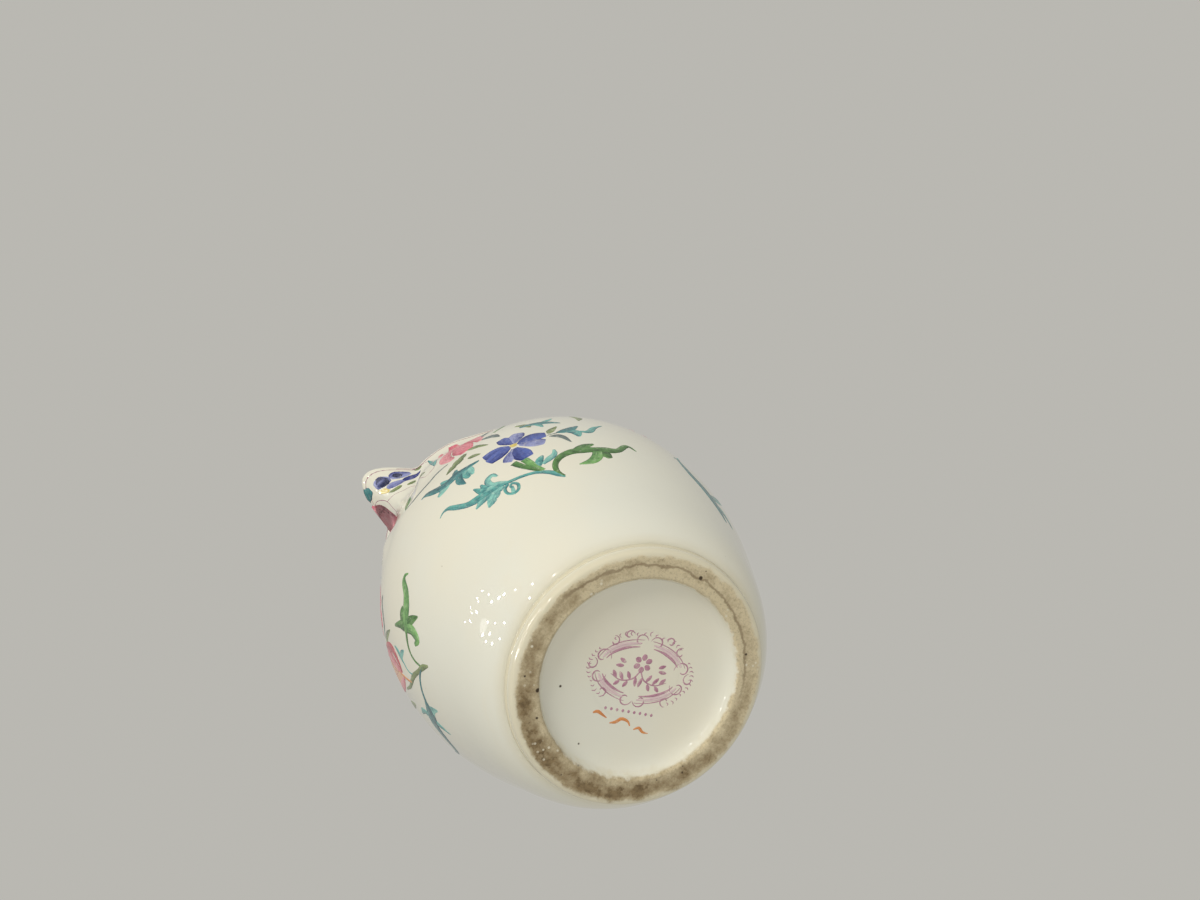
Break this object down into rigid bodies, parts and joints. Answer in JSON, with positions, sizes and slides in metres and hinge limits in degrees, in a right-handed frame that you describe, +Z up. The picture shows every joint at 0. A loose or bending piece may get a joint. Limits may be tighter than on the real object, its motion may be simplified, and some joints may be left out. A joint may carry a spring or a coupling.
{
  "type": "cream jug",
  "caption": "Small round-bellied porcelain cream jug with a pouring lip, a looped handle and a turned foot ring, for serving cream or milk.",
  "frame": {"origin": "centre of the foot ring on the plane that the jug stands on, on the axis of the round body", "axes": "+Z up along the axis of the body, +X towards the pouring lip, -X towards the handle"},
  "size_m": [0.1112, 0.0814, 0.079],
  "materials": {
    "glazed_porcelain": "gloss clear glaze over cream-white porcelain",
    "bare_porcelain": "matt, unglazed and worn on the standing face"
  },
  "bodies": {
    "root": {"body": "glazed_porcelain", "foot_ring": "bare_porcelain", "pouring_lip": "glazed_porcelain", "handle": "glazed_porcelain", "handle_upper_joint": "glazed_porcelain", "handle_lower_joint": "glazed_porcelain"}
  },
  "joints": []
}
